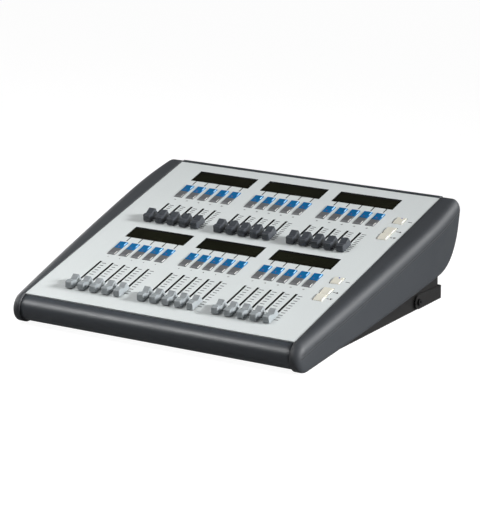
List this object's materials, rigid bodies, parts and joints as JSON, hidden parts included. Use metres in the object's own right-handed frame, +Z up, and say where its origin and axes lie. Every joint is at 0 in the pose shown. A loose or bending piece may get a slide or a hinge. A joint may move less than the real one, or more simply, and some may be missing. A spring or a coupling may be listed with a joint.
{
  "type": "lighting control desk",
  "caption": "Sloping lighting control desk with rows of faders, playback keys and display windows between flared side cheeks, on a fold-out tilt stand.",
  "frame": {"origin": "on the surface the desk stands on, under the middle of the bounding box", "axes": "+X to the operator's right along the front rail, +Y from the operator to the back, +Z up"},
  "size_m": [0.4778, 0.3928, 0.1425],
  "materials": {
    "panel_grey": "satin",
    "cheek_grey": "satin",
    "rail_grey": "satin",
    "pan_black": "satin",
    "key_blue": "gloss",
    "key_grey": "gloss",
    "key_cream": "gloss",
    "cap_silver": "satin",
    "cap_charcoal": "satin",
    "window_smoke": "gloss",
    "board_green": "satin",
    "part_black": "satin",
    "foot_rubber": "matte",
    "zinc_steel": "brushed",
    "screw_black": "satin",
    "socket_steel": "brushed"
  },
  "bodies": {
    "chassis": {"top_panel": "panel_grey", "display_windows": "window_smoke", "display_modules": "part_black", "fader_bodies": "zinc_steel", "key_switches": "part_black", "switch_boards": "board_green", "front_rail": "rail_grey", "base_pan": "pan_black", "rear_trim": "rail_grey", "right_cheek": "cheek_grey", "left_cheek": "cheek_grey", "cheek_screws": "zinc_steel", "pivot_screws": "screw_black", "pivot_washers": "zinc_steel", "rubber_feet": "foot_rubber", "control_board": "board_green", "board_standoffs": "zinc_steel", "usb_socket": "socket_steel", "power_socket": "part_black"},
    "back_stand": {"back_stand": "pan_black"},
    "blue_buttons_lower": {"blue_buttons_lower": "key_blue"},
    "blue_buttons_upper": {"blue_buttons_upper": "key_blue"},
    "grey_buttons_lower": {"grey_buttons_lower": "key_grey"},
    "grey_buttons_upper": {"grey_buttons_upper": "key_grey"},
    "page_key_lower_top": {"page_key_lower_top": "key_cream"},
    "page_key_lower_middle": {"page_key_lower_middle": "key_cream"},
    "page_key_lower_bottom": {"page_key_lower_bottom": "key_cream"},
    "page_key_upper_top": {"page_key_upper_top": "key_cream"},
    "page_key_upper_middle": {"page_key_upper_middle": "key_cream"},
    "page_key_upper_bottom": {"page_key_upper_bottom": "key_cream"},
    "fader_lower_01": {"fader_lower_01": "cap_silver"},
    "fader_lower_02": {"fader_lower_02": "cap_silver"},
    "fader_lower_03": {"fader_lower_03": "cap_silver"},
    "fader_lower_04": {"fader_lower_04": "cap_silver"},
    "fader_lower_05": {"fader_lower_05": "cap_silver"},
    "fader_lower_06": {"fader_lower_06": "cap_silver"},
    "fader_lower_07": {"fader_lower_07": "cap_silver"},
    "fader_lower_08": {"fader_lower_08": "cap_silver"},
    "fader_lower_09": {"fader_lower_09": "cap_silver"},
    "fader_lower_10": {"fader_lower_10": "cap_silver"},
    "fader_lower_11": {"fader_lower_11": "cap_silver"},
    "fader_lower_12": {"fader_lower_12": "cap_silver"},
    "fader_lower_13": {"fader_lower_13": "cap_silver"},
    "fader_lower_14": {"fader_lower_14": "cap_silver"},
    "fader_lower_15": {"fader_lower_15": "cap_silver"},
    "fader_upper_01": {"fader_upper_01": "cap_charcoal"},
    "fader_upper_02": {"fader_upper_02": "cap_charcoal"},
    "fader_upper_03": {"fader_upper_03": "cap_charcoal"},
    "fader_upper_04": {"fader_upper_04": "cap_charcoal"},
    "fader_upper_05": {"fader_upper_05": "cap_charcoal"},
    "fader_upper_06": {"fader_upper_06": "cap_charcoal"},
    "fader_upper_07": {"fader_upper_07": "cap_charcoal"},
    "fader_upper_08": {"fader_upper_08": "cap_charcoal"},
    "fader_upper_09": {"fader_upper_09": "cap_charcoal"},
    "fader_upper_10": {"fader_upper_10": "cap_charcoal"},
    "fader_upper_11": {"fader_upper_11": "cap_charcoal"},
    "fader_upper_12": {"fader_upper_12": "cap_charcoal"},
    "fader_upper_13": {"fader_upper_13": "cap_charcoal"},
    "fader_upper_14": {"fader_upper_14": "cap_charcoal"},
    "fader_upper_15": {"fader_upper_15": "cap_charcoal"}
  },
  "joints": [
    {"name": "back_stand_fold", "type": "hinge", "parent": "chassis", "child": "back_stand", "pos_m": [0, 0.1252, 0.014], "axis": [-1, 0, 0], "range_deg": [0, 100]},
    {"name": "blue_buttons_lower_press", "type": "slide", "parent": "chassis", "child": "blue_buttons_lower", "axis": [0, 0.2588, -0.9659], "range_m": [0, 0.0015]},
    {"name": "blue_buttons_upper_press", "type": "slide", "parent": "chassis", "child": "blue_buttons_upper", "axis": [0, 0.2588, -0.9659], "range_m": [0, 0.0015]},
    {"name": "grey_buttons_lower_press", "type": "slide", "parent": "chassis", "child": "grey_buttons_lower", "axis": [0, 0.2588, -0.9659], "range_m": [0, 0.0015]},
    {"name": "grey_buttons_upper_press", "type": "slide", "parent": "chassis", "child": "grey_buttons_upper", "axis": [0, 0.2588, -0.9659], "range_m": [0, 0.0015]},
    {"name": "page_key_lower_top_press", "type": "slide", "parent": "chassis", "child": "page_key_lower_top", "axis": [0, 0.2588, -0.9659], "range_m": [0, 0.0015]},
    {"name": "page_key_lower_middle_press", "type": "slide", "parent": "chassis", "child": "page_key_lower_middle", "axis": [0, 0.2588, -0.9659], "range_m": [0, 0.0015]},
    {"name": "page_key_lower_bottom_press", "type": "slide", "parent": "chassis", "child": "page_key_lower_bottom", "axis": [0, 0.2588, -0.9659], "range_m": [0, 0.0015]},
    {"name": "page_key_upper_top_press", "type": "slide", "parent": "chassis", "child": "page_key_upper_top", "axis": [0, 0.2588, -0.9659], "range_m": [0, 0.0015]},
    {"name": "page_key_upper_middle_press", "type": "slide", "parent": "chassis", "child": "page_key_upper_middle", "axis": [0, 0.2588, -0.9659], "range_m": [0, 0.0015]},
    {"name": "page_key_upper_bottom_press", "type": "slide", "parent": "chassis", "child": "page_key_upper_bottom", "axis": [0, 0.2588, -0.9659], "range_m": [0, 0.0015]},
    {"name": "fader_lower_01_slide", "type": "slide", "parent": "chassis", "child": "fader_lower_01", "axis": [0, 0.9659, 0.2588], "range_m": [0, 0.06]},
    {"name": "fader_lower_02_slide", "type": "slide", "parent": "chassis", "child": "fader_lower_02", "axis": [0, 0.9659, 0.2588], "range_m": [0, 0.06]},
    {"name": "fader_lower_03_slide", "type": "slide", "parent": "chassis", "child": "fader_lower_03", "axis": [0, 0.9659, 0.2588], "range_m": [0, 0.06]},
    {"name": "fader_lower_04_slide", "type": "slide", "parent": "chassis", "child": "fader_lower_04", "axis": [0, 0.9659, 0.2588], "range_m": [0, 0.06]},
    {"name": "fader_lower_05_slide", "type": "slide", "parent": "chassis", "child": "fader_lower_05", "axis": [0, 0.9659, 0.2588], "range_m": [0, 0.06]},
    {"name": "fader_lower_06_slide", "type": "slide", "parent": "chassis", "child": "fader_lower_06", "axis": [0, 0.9659, 0.2588], "range_m": [0, 0.06]},
    {"name": "fader_lower_07_slide", "type": "slide", "parent": "chassis", "child": "fader_lower_07", "axis": [0, 0.9659, 0.2588], "range_m": [0, 0.06]},
    {"name": "fader_lower_08_slide", "type": "slide", "parent": "chassis", "child": "fader_lower_08", "axis": [0, 0.9659, 0.2588], "range_m": [0, 0.06]},
    {"name": "fader_lower_09_slide", "type": "slide", "parent": "chassis", "child": "fader_lower_09", "axis": [0, 0.9659, 0.2588], "range_m": [0, 0.06]},
    {"name": "fader_lower_10_slide", "type": "slide", "parent": "chassis", "child": "fader_lower_10", "axis": [0, 0.9659, 0.2588], "range_m": [0, 0.06]},
    {"name": "fader_lower_11_slide", "type": "slide", "parent": "chassis", "child": "fader_lower_11", "axis": [0, 0.9659, 0.2588], "range_m": [0, 0.06]},
    {"name": "fader_lower_12_slide", "type": "slide", "parent": "chassis", "child": "fader_lower_12", "axis": [0, 0.9659, 0.2588], "range_m": [0, 0.06]},
    {"name": "fader_lower_13_slide", "type": "slide", "parent": "chassis", "child": "fader_lower_13", "axis": [0, 0.9659, 0.2588], "range_m": [0, 0.06]},
    {"name": "fader_lower_14_slide", "type": "slide", "parent": "chassis", "child": "fader_lower_14", "axis": [0, 0.9659, 0.2588], "range_m": [0, 0.06]},
    {"name": "fader_lower_15_slide", "type": "slide", "parent": "chassis", "child": "fader_lower_15", "axis": [0, 0.9659, 0.2588], "range_m": [0, 0.06]},
    {"name": "fader_upper_01_slide", "type": "slide", "parent": "chassis", "child": "fader_upper_01", "axis": [0, 0.9659, 0.2588], "range_m": [-0.005, 0.04]},
    {"name": "fader_upper_02_slide", "type": "slide", "parent": "chassis", "child": "fader_upper_02", "axis": [0, 0.9659, 0.2588], "range_m": [-0.005, 0.04]},
    {"name": "fader_upper_03_slide", "type": "slide", "parent": "chassis", "child": "fader_upper_03", "axis": [0, 0.9659, 0.2588], "range_m": [-0.005, 0.04]},
    {"name": "fader_upper_04_slide", "type": "slide", "parent": "chassis", "child": "fader_upper_04", "axis": [0, 0.9659, 0.2588], "range_m": [-0.005, 0.04]},
    {"name": "fader_upper_05_slide", "type": "slide", "parent": "chassis", "child": "fader_upper_05", "axis": [0, 0.9659, 0.2588], "range_m": [-0.005, 0.04]},
    {"name": "fader_upper_06_slide", "type": "slide", "parent": "chassis", "child": "fader_upper_06", "axis": [0, 0.9659, 0.2588], "range_m": [-0.005, 0.04]},
    {"name": "fader_upper_07_slide", "type": "slide", "parent": "chassis", "child": "fader_upper_07", "axis": [0, 0.9659, 0.2588], "range_m": [-0.005, 0.04]},
    {"name": "fader_upper_08_slide", "type": "slide", "parent": "chassis", "child": "fader_upper_08", "axis": [0, 0.9659, 0.2588], "range_m": [-0.005, 0.04]},
    {"name": "fader_upper_09_slide", "type": "slide", "parent": "chassis", "child": "fader_upper_09", "axis": [0, 0.9659, 0.2588], "range_m": [-0.005, 0.04]},
    {"name": "fader_upper_10_slide", "type": "slide", "parent": "chassis", "child": "fader_upper_10", "axis": [0, 0.9659, 0.2588], "range_m": [-0.005, 0.04]},
    {"name": "fader_upper_11_slide", "type": "slide", "parent": "chassis", "child": "fader_upper_11", "axis": [0, 0.9659, 0.2588], "range_m": [-0.005, 0.04]},
    {"name": "fader_upper_12_slide", "type": "slide", "parent": "chassis", "child": "fader_upper_12", "axis": [0, 0.9659, 0.2588], "range_m": [-0.005, 0.04]},
    {"name": "fader_upper_13_slide", "type": "slide", "parent": "chassis", "child": "fader_upper_13", "axis": [0, 0.9659, 0.2588], "range_m": [-0.005, 0.04]},
    {"name": "fader_upper_14_slide", "type": "slide", "parent": "chassis", "child": "fader_upper_14", "axis": [0, 0.9659, 0.2588], "range_m": [-0.005, 0.04]},
    {"name": "fader_upper_15_slide", "type": "slide", "parent": "chassis", "child": "fader_upper_15", "axis": [0, 0.9659, 0.2588], "range_m": [-0.005, 0.04]}
  ]
}
